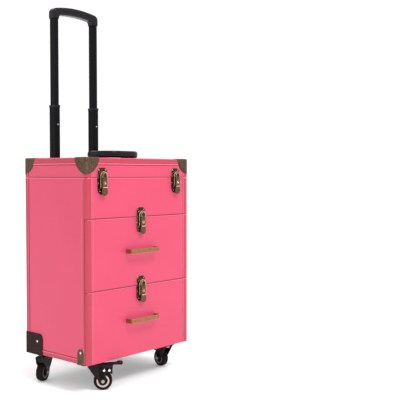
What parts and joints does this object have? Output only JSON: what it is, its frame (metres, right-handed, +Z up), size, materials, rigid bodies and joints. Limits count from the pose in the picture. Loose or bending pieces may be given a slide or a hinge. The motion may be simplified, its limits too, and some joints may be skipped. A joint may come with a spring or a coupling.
{
  "type": "rolling makeup case",
  "caption": "Upright rolling makeup case with a hinged lid over a tray, drawers with spring catches, swivel casters, a folding carry handle and a telescopic handle.",
  "frame": {"origin": "on the ground under the middle of the closed case's bounding box, handle pulled out", "axes": "+Z up; -Y is the front, where the drawers open; +X is to the right as seen from the front"},
  "size_m": [0.3718, 0.2978, 0.986],
  "materials": {
    "pink_leather": "satin, fine grain",
    "lining_board": "matt black lining over board",
    "antique_bronze": "antique bronze plate, worn at the edges",
    "bright_steel": "bright plate",
    "black_plastic": "fine moulded texture",
    "black_tube": "black anodised",
    "black_steel": "black enamel",
    "black_rubber": "smooth, slightly worn"
  },
  "bodies": {
    "case": {"side_panel_left": "pink_leather", "side_panel_right": "pink_leather", "back_panel": "pink_leather", "bottom_panel": "lining_board", "tray_front": "pink_leather", "tray_floor": "lining_board", "drawer_shelf": "lining_board", "hinge_leaf_body": "bright_steel", "hinge_pin": "bright_steel", "side_tabs": "antique_bronze", "rear_guards": "black_plastic", "edge_rivets": "bright_steel", "lid_catch_bases": "antique_bronze", "catch_keeper_upper": "antique_bronze", "runner_channels": "bright_steel", "trolley_outer_tubes": "black_tube", "trolley_top_bezel": "black_plastic", "trolley_foot": "black_plastic", "caster_plates": "bright_steel"},
    "lid": {"lid_top": "pink_leather", "lid_front": "pink_leather", "lid_sides": "pink_leather", "hinge_leaf_lid": "bright_steel", "lid_corner_caps": "antique_bronze", "lid_catch_keepers": "antique_bronze", "carry_handle_brackets": "black_steel"},
    "carry_handle": {"carry_handle": "black_plastic"},
    "lid_catch_lever_left": {"lid_catch_lever_left": "antique_bronze"},
    "lid_catch_lever_right": {"lid_catch_lever_right": "antique_bronze"},
    "drawer_upper": {"drawer_face_upper": "pink_leather", "drawer_box_upper": "lining_board", "drawer_runners_upper": "bright_steel", "drawer_pull_upper": "antique_bronze", "catch_base_upper": "antique_bronze", "catch_keeper_lower": "antique_bronze"},
    "drawer_lower": {"drawer_face_lower": "pink_leather", "drawer_box_lower": "lining_board", "drawer_runners_lower": "bright_steel", "drawer_pull_lower": "antique_bronze", "catch_base_lower": "antique_bronze"},
    "catch_lever_upper": {"catch_lever_upper": "antique_bronze"},
    "catch_lever_lower": {"catch_lever_lower": "antique_bronze"},
    "trolley_mid": {"trolley_mid_tubes": "black_tube", "trolley_mid_collars": "black_plastic"},
    "trolley_upper": {"trolley_upper_tubes": "black_tube", "trolley_grip": "black_plastic"},
    "trolley_button": {"trolley_button": "black_plastic"},
    "swivel_front_left": {"caster_fork_front_left": "black_steel"},
    "wheel_front_left": {"caster_wheel_front_left": "black_rubber"},
    "brake_front_left": {"caster_brake_front_left": "black_steel"},
    "swivel_front_right": {"caster_fork_front_right": "black_steel"},
    "wheel_front_right": {"caster_wheel_front_right": "black_rubber"},
    "brake_front_right": {"caster_brake_front_right": "black_steel"},
    "swivel_rear_left": {"caster_fork_rear_left": "black_steel"},
    "wheel_rear_left": {"caster_wheel_rear_left": "black_rubber"},
    "swivel_rear_right": {"caster_fork_rear_right": "black_steel"},
    "wheel_rear_right": {"caster_wheel_rear_right": "black_rubber"}
  },
  "joints": [
    {"name": "lid_hinge", "type": "hinge", "parent": "case", "child": "lid", "pos_m": [0, 0.11363, 0.5725], "axis": [-1, 0, 0], "range_deg": [0, 80]},
    {"name": "carry_handle_fold", "type": "hinge", "parent": "lid", "child": "carry_handle", "pos_m": [0, -0.00688, 0.5832], "axis": [1, 0, 0], "range_deg": [-90, 0]},
    {"name": "drawer_upper_slide", "type": "slide", "parent": "case", "child": "drawer_upper", "axis": [0, -1, 0], "range_m": [0, 0.15]},
    {"name": "drawer_lower_slide", "type": "slide", "parent": "case", "child": "drawer_lower", "axis": [0, -1, 0], "range_m": [0, 0.15]},
    {"name": "lid_catch_lever_left_rock", "type": "hinge", "parent": "case", "child": "lid_catch_lever_left", "pos_m": [-0.13, -0.13207, 0.4996], "axis": [1, 0, 0], "range_deg": [0, 12], "stiffness_Nm_per_rad": 0.08, "springref_deg": -6.88},
    {"name": "lid_catch_lever_right_rock", "type": "hinge", "parent": "case", "child": "lid_catch_lever_right", "pos_m": [0.13, -0.13207, 0.4996], "axis": [1, 0, 0], "range_deg": [0, 12], "stiffness_Nm_per_rad": 0.08, "springref_deg": -6.88},
    {"name": "catch_lever_upper_rock", "type": "hinge", "parent": "drawer_upper", "child": "catch_lever_upper", "pos_m": [0, -0.13207, 0.3996], "axis": [1, 0, 0], "range_deg": [0, 12], "stiffness_Nm_per_rad": 0.08, "springref_deg": -6.88},
    {"name": "catch_lever_lower_rock", "type": "hinge", "parent": "drawer_lower", "child": "catch_lever_lower", "pos_m": [0, -0.13207, 0.2241], "axis": [1, 0, 0], "range_deg": [0, 12], "stiffness_Nm_per_rad": 0.08, "springref_deg": -6.88},
    {"name": "trolley_mid_slide", "type": "slide", "parent": "case", "child": "trolley_mid", "axis": [0, 0, 1], "range_m": [-0.1775, 0]},
    {"name": "trolley_upper_slide", "type": "slide", "parent": "trolley_mid", "child": "trolley_upper", "axis": [0, 0, 1], "range_m": [-0.2315, 0]},
    {"name": "trolley_button_press", "type": "slide", "parent": "trolley_upper", "child": "trolley_button", "axis": [0, 0, -1], "range_m": [0, 0.0035], "stiffness_N_per_m": 300, "springref_m": -0.002},
    {"name": "swivel_front_left", "type": "hinge", "parent": "case", "child": "swivel_front_left", "pos_m": [-0.138, -0.09087, 0.064], "axis": [0, 0, 1], "continuous": true},
    {"name": "wheel_front_left", "type": "hinge", "parent": "swivel_front_left", "child": "wheel_front_left", "pos_m": [-0.11595, -0.11122, 0.023], "axis": [0.6782, 0.7349, 0], "continuous": true},
    {"name": "brake_front_left", "type": "hinge", "parent": "swivel_front_left", "child": "brake_front_left", "pos_m": [-0.10419, -0.12207, 0.05], "axis": [0.6782, 0.7349, 0], "range_deg": [0, 11]},
    {"name": "swivel_front_right", "type": "hinge", "parent": "case", "child": "swivel_front_right", "pos_m": [0.138, -0.09087, 0.064], "axis": [0, 0, 1], "continuous": true},
    {"name": "wheel_front_right", "type": "hinge", "parent": "swivel_front_right", "child": "wheel_front_right", "pos_m": [0.14321, -0.06133, 0.023], "axis": [-0.9848, 0.1736, 0], "continuous": true},
    {"name": "brake_front_right", "type": "hinge", "parent": "swivel_front_right", "child": "brake_front_right", "pos_m": [0.14599, -0.04557, 0.05], "axis": [-0.9848, 0.1736, 0], "range_deg": [0, 11]},
    {"name": "swivel_rear_left", "type": "hinge", "parent": "case", "child": "swivel_rear_left", "pos_m": [-0.138, 0.07712, 0.064], "axis": [0, 0, 1], "continuous": true},
    {"name": "wheel_rear_left", "type": "hinge", "parent": "swivel_rear_left", "child": "wheel_rear_left", "pos_m": [-0.16519, 0.06445, 0.023], "axis": [0.4226, -0.9063, 0], "continuous": true},
    {"name": "swivel_rear_right", "type": "hinge", "parent": "case", "child": "swivel_rear_right", "pos_m": [0.138, 0.07712, 0.064], "axis": [0, 0, 1], "continuous": true},
    {"name": "wheel_rear_right", "type": "hinge", "parent": "swivel_rear_right", "child": "wheel_rear_right", "pos_m": [0.11872, 0.10011, 0.023], "axis": [-0.766, -0.6428, 0], "continuous": true}
  ]
}
